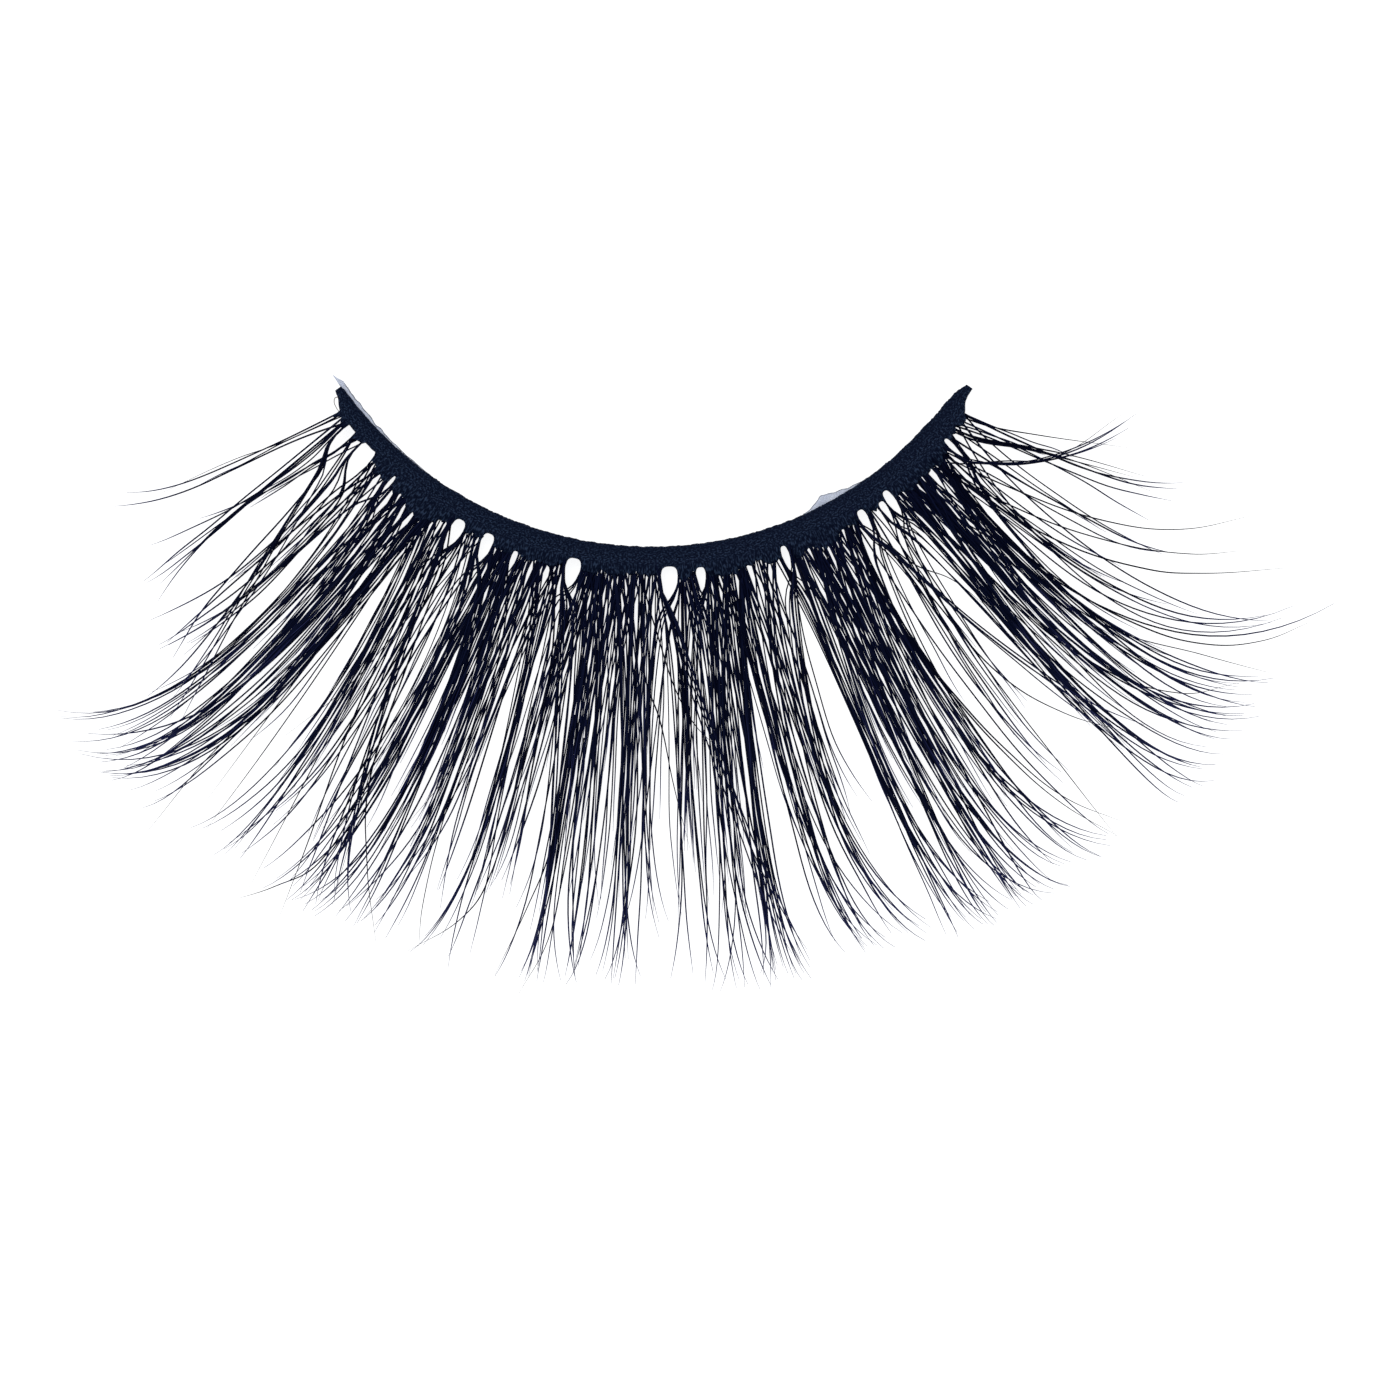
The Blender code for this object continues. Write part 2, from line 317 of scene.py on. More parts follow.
fibre_material, fibre_nodes, fibre_shader = principled("black_fibre", Specular_IOR_Level=0.03)
tone = add_node(fibre_nodes, "ShaderNodeAttribute", attribute_name="tone")
own_tone = ramp(fibre_nodes, tone.outputs["Fac"], FIBRE_DARK, FIBRE_LIGHT)
along = add_node(fibre_nodes, "ShaderNodeAttribute", attribute_name="along")
# Painted light on the tips: towards the tip, the fibre colour is mixed with the paler painted tip
# colour.
painted_tip_light = shader_range(fibre_nodes, along.outputs["Fac"], PAINTED_LIGHT_FROM, 1.0)
mixed = {"Factor": painted_tip_light, "A": own_tone, "B": (*TIP_PAINTED_LIGHT, 1)}
mixed = add_node(fibre_nodes, "ShaderNodeMix", mixed, data_type="RGBA")
put(fibre_nodes, fibre_shader.inputs["Base Color"], mixed)
fibre_grain = noise_on_object(fibre_nodes, 9000, 3)
spread_roughness(fibre_nodes, fibre_shader, fibre_grain, 0.38, 0.58)
attach_bump(fibre_nodes, fibre_shader, fibre_grain, 0.15, 0.01 * MM)
print("material:", fibre_material.name)

# %% [markdown]
# ## Windows between the roots
#
# The roots sit in a web of black glue. Where the webs of two bundles don't meet, a
# small white window with a round top stays open, and no fibre crosses its upper part.
# The windows are listed in degrees from the middle of the band, with the distance in
# millimetres of their top from the band's inner edge. Both the fibres and the glue
# leave them free.

# %% Table of windows
HALF_TURN_DEGREES = math.degrees(HALF_TURN)
Window = namedtuple("Window", "left right top")
WINDOWS = [Window(*row) for row in (
    (-49.6, -48.1, 0.70), (-46.3, -43.8, 0.75), (-39.9, -39.4, 1.05),
    (-29.2, -27.4, 1.00), (-24.6, -22.9, 1.00), (-19.8, -19.1, 1.30),
    (-12.2, -10.1, 0.90), (1.3, 3.6, 0.95), (6.2, 7.5, 1.10),
    (18.5, 19.5, 1.00), (30.5, 31.7, 1.00), (33.8, 34.7, 1.20),
    (35.0, 36.2, 0.90), (46.7, 47.4, 0.95),
)]
print("windows:", len(WINDOWS))

# %% [markdown]
# ## One tree for all the fibres
#
# Hundreds of fibres, each a little different, are a job for Geometry Nodes. The tree
# below makes one bundle: it draws a number of lines, bends each one into a lash and
# gives it a round, tapering body. A fibre's path runs through three turns, at its
# root, at its knee and at its tip, and a parabola joins them. Random places across
# the bundle make the fibres cross, and some of them lean in from the roots of the
# next bundle, which gives the lattice near the band of the real strip.
#
# The tree's named inputs come first: they are what changes from bundle to bundle. All
# turns are shares of the band's half turn.

# %% Inputs of the fibre tree
FIBRE_POINTS = 30
FIBRE_SIDES = 5

fibres = bpy.data.node_groups.new("lash_fibres", "GeometryNodeTree")
fibres.interface.new_socket("Geometry", in_out="OUTPUT", socket_type="NodeSocketGeometry")
input_ids = {}


def add_input(name, default, kind="NodeSocketFloat"):
    """A named input of the tree."""
    item = fibres.interface.new_socket(name, in_out="INPUT", socket_type=kind)
    item.default_value = default
    input_ids[name] = item.identifier


add_input("Fibres", 10, "NodeSocketInt")
for input_name, value in (
    ("Root", 0.0), ("Root Width", 0.04), ("Knee", 0.0), ("Knee Width", 0.04),
    ("Tip", 0.0), ("Tip Width", 0.04), ("Reach", HAIR_LENGTH), ("Reach Spread", 0.10),
    ("Short Share", 0.2), ("Lean Left", -0.04), ("Lean Right", 0.04), ("Lean Share", 1.0),
    ("Hook", 0.0), ("Hook Spread", 0.075), ("Lift", 0.0),
    ("Thickness", 0.078 * MM), ("Wander", 0.32 * MM),
):
    add_input(input_name, value)
add_input("Seed", 1, "NodeSocketInt")
given = fibres.nodes.new("NodeGroupInput").outputs
print("inputs:", len(input_ids))

# %% [markdown]
# The plain sums come up so often that each has a short name. They work on fields, so
# one sum holds for every point of every fibre. `field` is any other sum in the tree,
# and `grown` any other node.

# %% Sums on fields
grown = partial(add_node, fibres)
field = partial(add_math, fibres)
plus = partial(field, "ADD")
minus = partial(field, "SUBTRACT")
times = partial(field, "MULTIPLY")
over = partial(field, "DIVIDE")
print("sums ready")

# %% [markdown]
# The lines are instances of one two-point curve, made real and cut into short steps.
# `Curve of Point` then tells each point which fibre it belongs to, and how far along
# it is, so every later sum can be done for all fibres at once.

# %% Lines to bend
points = grown("GeometryNodePoints", {"Count": given["Fibres"]})
line = grown("GeometryNodeCurvePrimitiveLine")
copies = grown("GeometryNodeInstanceOnPoints", {"Points": points, "Instance": line})
real = grown("GeometryNodeRealizeInstances", {"Geometry": copies})
lines = grown("GeometryNodeResampleCurve", {"Curve": real, "Count": FIBRE_POINTS})

owner = grown("GeometryNodeCurveOfPoint")
fibre_number = owner.outputs["Curve Index"]
step_number = owner.outputs["Index in Curve"]
share = over(step_number, FIBRE_POINTS - 1)
print("points on a fibre:", FIBRE_POINTS)

# %% [markdown]
# Each fibre gets its place across the bundle three times, at its root, knee and tip.
# A place is partly even, so that the bundle is filled, and partly random, so that the
# fibres cross. At the knee most fibres are gathered near the bundle's middle, which
# makes it dark there, and a few stay loose at its sides.

# %% Random places
MIDDLE_STRETCH = 0.65
EDGE_STRETCH = 3.0
ROOT_CROSSING = 0.30
KNEE_CROSSING = 0.35
TIP_CROSSING = 0.55

seed = given["Seed"]


def chance(offset):
    """A random number from 0 to 1 for each fibre."""
    values = {"ID": fibre_number, "Seed": plus(seed, offset)}
    return grown("FunctionNodeRandomValue", values, data_type="FLOAT")


even = over(plus(fibre_number, chance(11)), given["Fibres"])


def across(offset, crossing):
    """A place from 0 to 1 across the bundle, part even and part random."""
    loose = minus(chance(offset), even)
    return plus(even, times(loose, crossing))


def turn_at(middle, width, place):
    """The turn of a place across the bundle."""
    offset = times(minus(place, 0.5), given[width])
    return plus(given[middle], offset)


def gathered(place):
    """The same place, moved so that most fibres come to lie near the bundle's middle."""
    aside = minus(place, 0.5)
    stretch = times(times(aside, aside), EDGE_STRETCH)
    stretch = plus(stretch, MIDDLE_STRETCH)
    return plus(times(aside, stretch), 0.5)


root_turn = turn_at("Root", "Root Width", across(21, ROOT_CROSSING))
knee_turn = turn_at("Knee", "Knee Width", gathered(across(26, KNEE_CROSSING)))
tip_turn = turn_at("Tip", "Tip Width", across(31, TIP_CROSSING))
print("random share at root, knee and tip:", ROOT_CROSSING, KNEE_CROSSING, TIP_CROSSING)

# %% [markdown]
# Each fibre falls a little short of its bundle's reach, and the short ones by far.

# %% Length of each fibre
SHORT_LEAST = 0.18
SHORT_MORE = 0.35
is_short = field("LESS_THAN", chance(41), given["Short Share"])
less = times(chance(51), given["Reach Spread"])
shorter = times(chance(56), SHORT_MORE)
shorter = times(plus(shorter, SHORT_LEAST), is_short)
less = plus(less, shorter)
reach_share = minus(1.0, less)
reach = times(given["Reach"], reach_share)
print("a short fibre lacks", SHORT_LEAST, "to", SHORT_LEAST + SHORT_MORE, "of its length")

# %% [markdown]
# The parabola has three weights, which are 1 at the root, the knee and the tip in turn.

# %% Turn along each fibre
travel = times(share, reach_share)
past_knee = minus(travel, KNEE)
to_tip = minus(1.0, travel)
at_root = over(times(past_knee, to_tip), -KNEE)
at_knee = over(times(travel, to_tip), KNEE * (1 - KNEE))
at_tip = over(times(travel, past_knee), 1 - KNEE)
turn = times(root_turn, at_root)
turn = plus(turn, times(knee_turn, at_knee))
turn = plus(turn, times(tip_turn, at_tip))
print("knee at share", KNEE)

# %% [markdown]
# The lean adds a turn that fades out within a few millimetres of the root. One fibre
# in three comes from the left, one from the right and one from straight behind. How
# far each comes from drifts across the bundle, so that neighbours stay side by side.

# %% Lean at the root
LEAN_FADE = 5.5
LEAN_LEAST = 0.35
DRIFT_WAVES = 2.5
DRIFT_BASE = 0.3
DRIFT_GAIN = 1.6
FAMILY_STEP = 5.3
BUNDLE_STEP = 1.7

family = field("MODULO", fibre_number, 3.0)
from_left = times(field("LESS_THAN", family, 0.5), given["Lean Left"])
from_right = times(field("GREATER_THAN", family, 1.5), given["Lean Right"])
lean = plus(from_left, from_right)
drift_spot = grown("ShaderNodeCombineXYZ", {
    "X": times(even, DRIFT_WAVES),
    "Y": times(family, FAMILY_STEP),
    "Z": times(seed, BUNDLE_STEP),
})
drift_noise = {"Vector": drift_spot, "Scale": 1.0, "Detail": 0.0}
drift = grown("ShaderNodeTexNoise", drift_noise)
amount = times(minus(drift, DRIFT_BASE), DRIFT_GAIN)
amount = plus(field("MAXIMUM", amount, 0.0), LEAN_LEAST)
lean = times(times(lean, amount), given["Lean Share"])
fade = field("EXPONENT", times(travel, -LEAN_FADE))
turn = plus(turn, times(lean, fade))
print("least share of the full lean:", LEAN_LEAST)

# %% [markdown]
# A fibre that would start in a window, or lean into its upper part, is pushed back to
# the side of its root.

# %% Keep the windows free
AVOID_LENGTH = 1.9 * MM
WINDOW_RIM = 0.003

root_place = plus(root_turn, lean)
push = 0.0
for window in WINDOWS:
    window_half = (window.right - window.left) / 2 / HALF_TURN_DEGREES + WINDOW_RIM
    window_middle = (window.right + window.left) / 2 / HALF_TURN_DEGREES
    side = field("SIGN", minus(root_place, window_middle))
    aside = times(minus(turn, window_middle), side)
    depth_in = field("MAXIMUM", minus(window_half, aside), 0.0)
    push = plus(push, times(depth_in, side))
from_root = over(times(share, reach), AVOID_LENGTH)
avoid = field("EXPONENT", times(field("POWER", from_root, 4.0), -1.0))
turn = plus(turn, times(push, avoid))
print("windows stay free for mm:", AVOID_LENGTH / MM)

# %% [markdown]
# The hook adds a turn that only shows near the tip. Noise lets a fibre wander a little.

# %% Hook and wander
WANDER_WAVES = 1.7
WANDER_FIBRE_STEP = 7.3
WANDER_BUNDLE_STEP = 3.1

own_hook = minus(chance(101), 0.5)
own_hook = plus(given["Hook"], times(own_hook, given["Hook Spread"]))
hook = times(own_hook, field("POWER", travel, 4.0))
turn = plus(turn, hook)
spot = grown("ShaderNodeCombineXYZ", {
    "X": times(share, WANDER_WAVES),
    "Y": times(fibre_number, WANDER_FIBRE_STEP),
    "Z": times(seed, WANDER_BUNDLE_STEP),
})
wave = grown("ShaderNodeTexNoise", {"Vector": spot, "Scale": 1.0, "Detail": 1.0})
sway = minus(wave, 0.5)
sway = times(times(sway, share), given["Wander"])
turn = plus(turn, over(sway, BAND_RADIUS * HALF_TURN / 2))
print("waves along a fibre:", WANDER_WAVES)

# %% [markdown]
# The curl is added up in small steps, outwards and upwards. `Accumulate Field` does
# this sum for each fibre by itself, because the fibre's number is its group. The
# fibres of a bundle lie at slightly different heights.

# %% Curl along each fibre
step_length = over(reach, FIBRE_POINTS - 1)


def slope_at(step):
    """The fibre's slope after a number of steps."""
    run = over(times(step, step_length), HAIR_LENGTH)
    rise = field("POWER", run, CURL_POWER)
    return minus(times(rise, DROOP + CURL_TURN), DROOP)


def summed(part):
    """The sum of a part of all steps before this one, for each fibre."""
    node = grown(
        "GeometryNodeAccumulateField",
        {"Value": times(step_length, part), "Group ID": fibre_number},
        data_type="FLOAT",
    )
    return node.outputs["Trailing"]


mid_slope = slope_at(plus(step_number, 0.5))
slope = slope_at(step_number)
out = summed(field("COSINE", mid_slope))
up = summed(field("SINE", mid_slope))

LIFT_SPREAD = 0.14 * MM
LIFT_BELOW = 0.3
lift = times(chance(61), LIFT_SPREAD)
lift = plus(minus(lift, LIFT_SPREAD * LIFT_BELOW), given["Lift"])
out = minus(out, times(lift, field("SINE", slope)))
up = plus(up, times(lift, field("COSINE", slope)))
print("layer pitch in mm:", LAYER_PITCH / MM)

# %% [markdown]
# Turn, distance and height become a point of the strip. The fibres start a little
# inside the band, so that they grow out of it and don't just touch it.

# %% Bend the lines
ROOT_START = OUTER_EDGE - 0.15 * MM
radius = plus(out, ROOT_START)
angle = times(turn, HALF_TURN)
below = times(radius, field("COSINE", angle))
place = grown("ShaderNodeCombineXYZ", {
    "X": times(radius, field("SINE", angle)),
    "Y": minus(BAND_RADIUS, below),
    "Z": plus(up, ROOT_HEIGHT),
})
bent = grown("GeometryNodeSetPosition", {"Geometry": lines, "Position": place})
print("roots start at mm:", round(ROOT_START / MM, 2))

# %% [markdown]
# A fibre keeps its thickness for four fifths of its length and then tapers to a fine
# point. At the root the black glue has climbed up it and made it a little thicker.
# Short fibres are the thinner ones.

# %% Round and tapering
TIP_SHARE = 0.22
TAPER_POWER = 11.0
SHORT_THINNER = 0.15
GLUE_CLIMB = 4.0 * MM
GLUE_SWELL = 0.30
OWN_LEAST = 0.85
OWN_MORE = 0.3

taper = minus(1.0, field("POWER", share, TAPER_POWER))
taper = field("MAXIMUM", taper, TIP_SHARE)
climb = over(times(share, reach), GLUE_CLIMB)
swell = field("MAXIMUM", minus(1.0, climb), 0.0)
swell = times(swell, GLUE_SWELL)
half = times(given["Thickness"], 0.5)
half = times(half, plus(taper, swell))
own = times(chance(71), OWN_MORE)
half = times(half, plus(own, OWN_LEAST))
thinner = minus(1.0, times(is_short, SHORT_THINNER))
half = times(half, thinner)
print("thickness at the tip, as a share:", TIP_SHARE)

# %% [markdown]
# The tree stores the two attributes that the material reads, then lets a ring run
# along each line.

# %% Skin of the fibres
def stored(geometry, name, value):
    """Store a number on every point, for the material to read."""
    return grown(
        "GeometryNodeStoreNamedAttribute",
        {"Geometry": geometry, "Name": name, "Value": value},
        data_type="FLOAT", domain="POINT",
    )


toned = stored(stored(bent, "along", share), "tone", chance(81))
ring = grown("GeometryNodeCurvePrimitiveCircle", {"Resolution": FIBRE_SIDES, "Radius": 1.0})
skin = grown(
    "GeometryNodeCurveToMesh",
    {"Curve": toned, "Profile Curve": ring, "Scale": half, "Fill Caps": True},
)
smooth = grown("GeometryNodeSetShadeSmooth", {"Geometry": skin})
solid = grown("GeometryNodeRealizeInstances", {"Geometry": smooth})
painted = grown("GeometryNodeSetMaterial", {"Geometry": solid, "Material": fibre_material})
put(fibres, grown("NodeGroupOutput").inputs[0], painted)
print("nodes in the tree:", len(fibres.nodes))

# %% [markdown]
# ## The bundles
#
# One row for each bundle, from left to right. The middle and the width of a bundle
# are given at the root, the knee and the tips, as shares of the half turn, and the
# reach as a share of the longest fibre. Layer 1 crosses over layer 0. These are the
# same places as those of the frame's flat locks, so each bundle replaces one of them.

# %% Table of bundles
Bundle = namedtuple("Bundle", "root root_width knee knee_width tip tip_width reach fibres layer")
BUNDLES = [Bundle(*row) for row in (
    (-0.952, 0.019, -0.998, 0.015, -1.048, 0.045, 0.475, 3, 0),
    (-0.934, 0.016, -0.932, 0.018, -0.933, 0.022, 0.520, 4, 1),
    (-0.915, 0.015, -0.828, 0.018, -0.767, 0.022, 0.670, 5, 1),
    (-0.880, 0.022, -0.917, 0.020, -0.985, 0.045, 0.480, 6, 0),
    (-0.852, 0.017, -0.835, 0.033, -0.856, 0.043, 0.565, 8, 0),
    (-0.783, 0.037, -0.793, 0.033, -0.819, 0.028, 0.570, 10, 0),
    (-0.733, 0.037, -0.741, 0.043, -0.848, 0.046, 0.850, 17, 0),
    (-0.685, 0.044, -0.695, 0.042, -0.812, 0.041, 0.885, 27, 0),
    (-0.631, 0.048, -0.646, 0.043, -0.768, 0.056, 0.880, 31, 0),
    (-0.580, 0.041, -0.560, 0.060, -0.592, 0.068, 0.870, 24, 0),
    (-0.548, 0.015, -0.498, 0.030, -0.437, 0.033, 0.880, 6, 1),
    (-0.488, 0.035, -0.507, 0.048, -0.537, 0.041, 0.720, 9, 0),
    (-0.406, 0.033, -0.433, 0.050, -0.498, 0.059, 0.910, 32, 0),
    (-0.367, 0.031, -0.380, 0.043, -0.442, 0.044, 0.900, 29, 0),
    (-0.330, 0.033, -0.341, 0.026, -0.396, 0.044, 0.885, 25, 0),
    (-0.291, 0.031, -0.304, 0.026, -0.331, 0.024, 0.780, 12, 0),
    (-0.252, 0.033, -0.250, 0.033, -0.294, 0.039, 0.910, 17, 0),
    (-0.233, 0.013, -0.185, 0.017, -0.165, 0.020, 0.720, 4, 1),
    (-0.167, 0.030, -0.204, 0.048, -0.226, 0.052, 0.710, 22, 0),
    (-0.131, 0.033, -0.141, 0.041, -0.143, 0.033, 0.930, 34, 0),
    (-0.091, 0.037, -0.093, 0.041, -0.100, 0.041, 0.910, 20, 0),
    (-0.048, 0.035, -0.046, 0.039, -0.050, 0.043, 0.885, 22, 0),
    (-0.002, 0.044, -0.009, 0.028, -0.007, 0.028, 0.750, 18, 0),
    (0.015, 0.015, 0.115, 0.022, 0.183, 0.026, 0.880, 5, 1),
    (0.083, 0.030, 0.064, 0.056, 0.048, 0.064, 0.905, 25, 0),
    (0.152, 0.030, 0.126, 0.054, 0.124, 0.059, 0.955, 32, 0),
    (0.205, 0.035, 0.172, 0.041, 0.170, 0.046, 0.920, 26, 0),
    (0.230, 0.033, 0.230, 0.037, 0.302, 0.060, 0.880, 24, 0),
    (0.274, 0.043, 0.278, 0.040, 0.366, 0.057, 0.895, 18, 0),
    (0.320, 0.033, 0.315, 0.017, 0.339, 0.019, 0.560, 4, 0),
    (0.374, 0.015, 0.296, 0.015, 0.361, 0.024, 0.860, 4, 1),
    (0.387, 0.037, 0.383, 0.037, 0.435, 0.041, 0.920, 22, 0),
    (0.428, 0.033, 0.428, 0.037, 0.481, 0.041, 0.970, 30, 0),
    (0.470, 0.037, 0.472, 0.037, 0.526, 0.037, 0.940, 33, 0),
    (0.520, 0.050, 0.522, 0.058, 0.600, 0.093, 0.900, 26, 0),
    (0.559, 0.013, 0.641, 0.015, 0.743, 0.019, 0.710, 4, 1),
    (0.639, 0.019, 0.611, 0.052, 0.630, 0.044, 0.690, 13, 0),
    (0.700, 0.056, 0.706, 0.037, 0.787, 0.056, 0.985, 31, 0),
    (0.757, 0.046, 0.756, 0.046, 0.856, 0.057, 0.885, 36, 0),
    (0.806, 0.039, 0.804, 0.043, 0.924, 0.070, 0.850, 27, 0),
    (0.812, 0.010, 0.822, 0.012, 1.093, 0.012, 0.980, 1, 1),
    (0.846, 0.028, 0.859, 0.052, 1.019, 0.098, 0.765, 12, 0),
    (0.850, 0.013, 0.915, 0.015, 1.163, 0.028, 0.295, 4, 1),
    (0.896, 0.043, 0.922, 0.043, 1.009, 0.043, 0.520, 5, 0),
    (0.942, 0.031, 0.993, 0.037, 1.085, 0.059, 0.440, 6, 0),
)]
print("bundles:", len(BUNDLES), "fibres:", sum(row.fibres for row in BUNDLES))

# %% [markdown]
# A piece is an empty mesh with the tree as its modifier. Its inputs are set before
# Blender first looks at it, and the result is then turned into a plain mesh. The
# widths in the table are those of a bundle's dense part, so each is spread a little.
# `leans` says how far to each side the leaning fibres of a bundle come from: they arch
# over the windows and cross the fibres of the next bundle. The hook makes most of the
# way from the knee to the tip, so that the fibres bend late, near their tips. The narrow
# bundles of layer 1 do without leaning fibres, short ones and a hook.

# %% Make the fibre pieces
def plain_piece(name, holder):
    """Replace an object by a plain mesh object that looks the same."""
    scene.collection.objects.link(holder)
    graph = bpy.context.evaluated_depsgraph_get()
    mesh = bpy.data.meshes.new_from_object(holder.evaluated_get(graph))
    bpy.data.objects.remove(holder)
    mesh.name = name
    piece = bpy.data.objects.new(name, mesh)
    scene.collection.objects.link(piece)
    return piece


def grow(name, settings):
    """A plain mesh object of fibres, from the tree and its named inputs."""
    holder = bpy.data.objects.new(name + "_holder", bpy.data.meshes.new(name + "_holder"))
    modifier = holder.modifiers.new("fibres", "NODES")
    modifier.node_group = fibres
    for key, value in settings.items():
        modifier[input_ids[key]] = value
    return plain_piece(name, holder)


ROOT_SPREAD = 1.2
KNEE_SPREAD = 1.3
TIP_SPREAD = 1.7
REACH_GAIN = 1.045
LONGEST = 0.985
HOOK_SHARE = 0.65
MANY_SHORT = 0.55
LEAN_REACH = 4.6 / HALF_TURN_DEGREES
LAST_ROOT = 51.5 / HALF_TURN_DEGREES


def leans(row):
    """How far to the left and the right of its root a bundle's fibres come from."""
    left = max(row.knee - LEAN_REACH, -LAST_ROOT)
    right = min(row.knee + LEAN_REACH, LAST_ROOT)
    return left - row.root, right - row.root


triangles = 0
for number, row in enumerate(BUNDLES, start=1):
    lean_left, lean_right = leans(row)
    late = 0.0 if row.layer else HOOK_SHARE * (row.tip - row.knee)
    bundle = grow(f"lashes_{number:02d}", {
        "Fibres": row.fibres,
        "Root": row.root, "Root Width": row.root_width * ROOT_SPREAD,
        "Knee": row.knee, "Knee Width": row.knee_width * KNEE_SPREAD,
        "Tip": row.tip - late, "Tip Width": row.tip_width * TIP_SPREAD, "Hook": late,
        "Lean Left": lean_left, "Lean Right": lean_right,
        "Lean Share": 0.0 if row.layer else 1.0,
        "Reach": min(row.reach * REACH_GAIN, LONGEST) * HAIR_LENGTH,
        "Short Share": 0.0 if row.layer else MANY_SHORT,
        "Lift": row.layer * LAYER_PITCH,
        "Seed": 100 * number,
    })
    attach(bundle, "root")
    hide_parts(f"lash_cluster_{number:02d}")
    triangles += sum(len(face.vertices) - 2 for face in bundle.data.polygons)
print("fibre triangles:", triangles)

# %% [markdown]
# ## The band
#
# The band is a cotton thread, soaked in black glue and dried flat on the surface. Its
# section is a rounded rectangle. That section is swept along the arc, with the same
# stations as the frame's band: a ragged left end, and a narrow neck at the right end,
# where the strip was cut off. Noise moves the surface a little, because glue dries
# uneven. The bumps never go below the surface that the band lies on. `read_off` finds
# the values between two rows of a table, also for the root glue and the stray fibres.

# %% Shape of the band
Station = namedtuple("Station", "turn inner outer")
BAND_STATIONS = [Station(*row) for row in (
    (-1.012, 0.05, 0.45),
    (-0.985, 0.00, 0.62),
    (-0.955, 0.00, 1.00),
    (0.300, 0.00, 1.00),
    (0.660, -0.08, 1.00),
    (0.850, -0.18, 1.00),
    (0.960, -0.16, 1.00),
    (0.985, -0.10, 0.62),
    (1.005, 0.02, 0.60),
    (1.022, 0.16, 0.58),
)]


def read_off(rows, place):
    """The values of a table, at a place in its first column."""
    for left, right in zip(rows, rows[1:]):
        if place <= right[0]:
            share = max(place - left[0], 0) / (right[0] - left[0])
            return [low + share * (high - low) for low, high in zip(left[1:], right[1:])]
    return rows[-1][1:]


def band_radius(edge):
    """Radius about the arc's centre of a share of the band's width."""
    return BAND_RADIUS + (edge - 0.5) * BAND_WIDTH


def uneven(turn, across, waves, size):
    """Smooth noise along the strip, in metres."""
    return size * noise.noise(Vector((turn * waves, across, 0.5)))


print("stations of the band:", len(BAND_STATIONS))

# %% [markdown]
# `bridge` joins rings of points into a closed skin. The band uses it, and so does the
# root glue below.

# %% Band skin
BAND_RINGS = 420
BAND_RING_POINTS = 24
CORNER = 0.32


def bridge(surface, rings):
    """Join closed rings of points into a tube with closed ends."""
    verts = [[surface.verts.new(point) for point in ring] for ring in rings]
    for near, far in zip(verts, verts[1:]):
        for index in range(len(near)):
            after = (index + 1) % len(near)
            surface.faces.new((near[index], near[after], far[after], far[index]))
    surface.faces.new(verts[0])
    surface.faces.new(list(reversed(verts[-1])))


def rounded(value):
    """A sine or cosine, squared up so that a circle becomes a rounded rectangle."""
    return math.copysign(abs(value) ** CORNER, value)


def band_ring(turn):
    """The band's section at a turn, with its uneven surface."""
    inner, outer = read_off(BAND_STATIONS, turn)
    inner += uneven(turn, 3.0, 55, 0.025) + uneven(turn, 4.0, 190, 0.035)
    outer += uneven(turn, 7.0, 70, 0.04)
    ring = []
    for index in range(BAND_RING_POINTS):
        angle = math.tau * index / BAND_RING_POINTS
        side = 0.5 + rounded(math.cos(angle)) / 2
        rise = 0.5 + rounded(math.sin(angle)) / 2
        radius = band_radius(inner + (outer - inner) * side)
        height = BAND_HEIGHT * rise * (0.97 + uneven(turn, side * 5, 90, 0.05))
        ring.append(on_arc(turn, radius, max(height, 0.0)))
    return ring


band_surface = bmesh.new()
first, last = BAND_STATIONS[0].turn, BAND_STATIONS[-1].turn
bridge(band_surface, [
    band_ring(first + (last - first) * index / BAND_RINGS) for index in range(BAND_RINGS + 1)
])
print("faces of the band:", len(band_surface.faces))

# %% [markdown]
# ## The root glue
#
# Every bundle is dipped in black glue before it is laid on the band, so the roots sit
# in a thin black web about 1.5 mm deep, with the white windows left open in it. The
# web's depth changes slowly, and its free edge is ragged where it runs out along the
# fibres.

# %% Depth of the root glue
Depth = namedtuple("Depth", "degrees depth")
DEPTHS = [Depth(*row) for row in (
    (-52.0, 0.95), (-44.0, 1.25), (-38.0, 1.60), (-34.0, 1.95),
    (-30.5, 1.60), (-24.0, 1.45), (-18.0, 1.50), (-12.0, 1.35),
    (0.0, 1.40), (7.0, 1.45), (12.0, 1.70), (16.0, 1.35),
    (24.0, 1.75), (31.0, 1.35), (38.0, 1.50), (43.0, 1.60),
    (47.0, 1.25), (52.0, 0.80),
)]


def web_depth(degrees):
    """How far the root glue reaches out from the band's inner edge, in mm."""
    depth = read_off(DEPTHS, degrees)[0]
    ragged = depth + uneven(degrees, 11.0, 0.8, 0.25) + uneven(degrees, 15.0, 2.3, 0.16)
    for window in WINDOWS:
        half = (window.right - window.left) / 2
        aside = abs(degrees - window.left - half) / half
        if aside < 1:
            arch = 1 - (1 - aside ** 3) ** (1 / 3)
            ragged = min(ragged, window.top + (depth - window.top) * arch)
    return ragged


print("web depth in the middle:", round(web_depth(0.0), 2))

# %% [markdown]
# The web is a skin that leaves the top of the band, thins out and comes down to the
# height of the roots at its free edge. Fine ridges run outwards on it: they are the
# fibres under the glue.

# %% Root glue skin
WEB_RINGS = 1500
WEB_STEPS = 9
WEB_START = 0.55
WEB_LEVEL_TO = 0.80
WEB_FALL_OVER = 0.90
WEB_EDGE_HALF = 0.10 * MM
WEB_RIDGE = 0.05 * MM
WEB_TOP = 0.99
WEB_BOTTOM = 0.30
WEB_THINNING = 0.75
WEB_LEAST = 0.02 * MM


